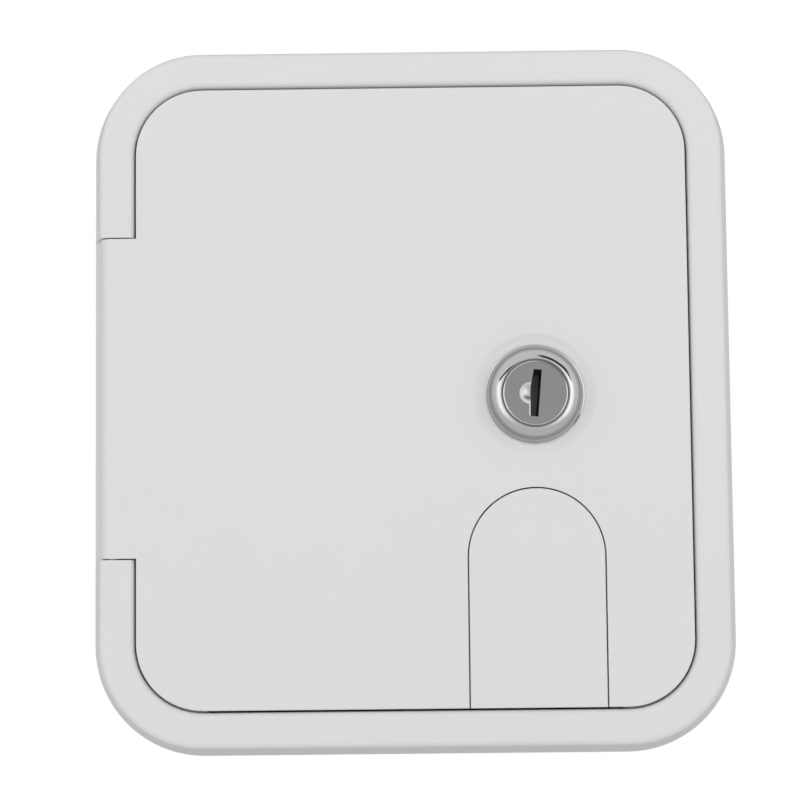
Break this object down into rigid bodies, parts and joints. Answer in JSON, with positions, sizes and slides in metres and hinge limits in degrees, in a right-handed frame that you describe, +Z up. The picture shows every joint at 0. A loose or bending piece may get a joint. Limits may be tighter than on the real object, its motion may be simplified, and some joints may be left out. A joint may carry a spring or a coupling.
{
  "type": "rv water inlet",
  "caption": "Wall-recessed hose inlet for a caravan: framed well, lockable door with an arched hose flap, and a sprung check-valve swivel coupling.",
  "frame": {"origin": "centre of the flange's back face, which is the face of the vehicle wall and the centre of the fixing screw pattern", "axes": "-Y out of the wall towards the person opening the door, +Z up, +X towards the lock side"},
  "size_m": [0.1428, 0.078, 0.1586],
  "materials": {
    "shell_plastic": "satin moulded, light grey-white",
    "door_plastic": "satin moulded, light grey-white",
    "inlet_plastic": "satin moulded",
    "coupling_plastic": "black, fine grain",
    "seal_rubber": "soft black",
    "foam": "closed-cell foam",
    "chrome": "bright plated",
    "plug_metal": "vertical brush marks",
    "steel": "zinc plated",
    "valve_plastic": "moulded"
  },
  "bodies": {
    "frame": {"frame": "shell_plastic", "wall_gasket": "foam", "door_seal": "seal_rubber", "hinge_pins": "steel", "inlet_body": "inlet_plastic", "inlet_gasket": "seal_rubber", "inlet_screws": "steel", "swivel_clip": "steel", "neck_seal": "seal_rubber", "hose_washer": "seal_rubber", "strainer": "steel", "valve_guide": "valve_plastic", "valve_spring": "steel"},
    "door": {"door": "door_plastic", "flap_pin": "steel", "flap_spring": "steel", "lock_housing": "chrome", "lock_gasket": "seal_rubber", "lock_nut": "steel"},
    "flap": {"hose_flap": "door_plastic"},
    "lock": {"lock_plug": "plug_metal", "lock_cam": "steel", "cam_washer": "steel", "cam_screw": "steel"},
    "coupling": {"swivel_coupling": "coupling_plastic"},
    "poppet": {"valve_poppet": "valve_plastic", "poppet_seal": "seal_rubber"}
  },
  "joints": [
    {"name": "door_hinge", "type": "hinge", "parent": "frame", "child": "door", "pos_m": [-0.0666, -0.0062, 0], "axis": [0, 0, -1], "range_deg": [0, 150]},
    {"name": "flap_hinge", "type": "hinge", "parent": "door", "child": "flap", "pos_m": [0.027, -0.004, -0.024], "axis": [1, 0, 0], "range_deg": [0, 75], "stiffness_Nm_per_rad": 0.02, "springref_deg": -28.65, "deforming": ["flap_spring"]},
    {"name": "lock_turn", "type": "hinge", "parent": "door", "child": "lock", "pos_m": [0.0271, 0, -0.00015], "axis": [0, 1, 0], "range_deg": [0, 90]},
    {"name": "coupling_spin", "type": "hinge", "parent": "frame", "child": "coupling", "pos_m": [0, 0.038, 0.0315], "axis": [0, -0.7071, -0.7071], "continuous": true},
    {"name": "valve_slide", "type": "slide", "parent": "frame", "child": "poppet", "axis": [0, 0.7071, 0.7071], "range_m": [0, 0.0035], "stiffness_N_per_m": 400, "springref_m": -0.004, "deforming": ["valve_spring"]}
  ]
}
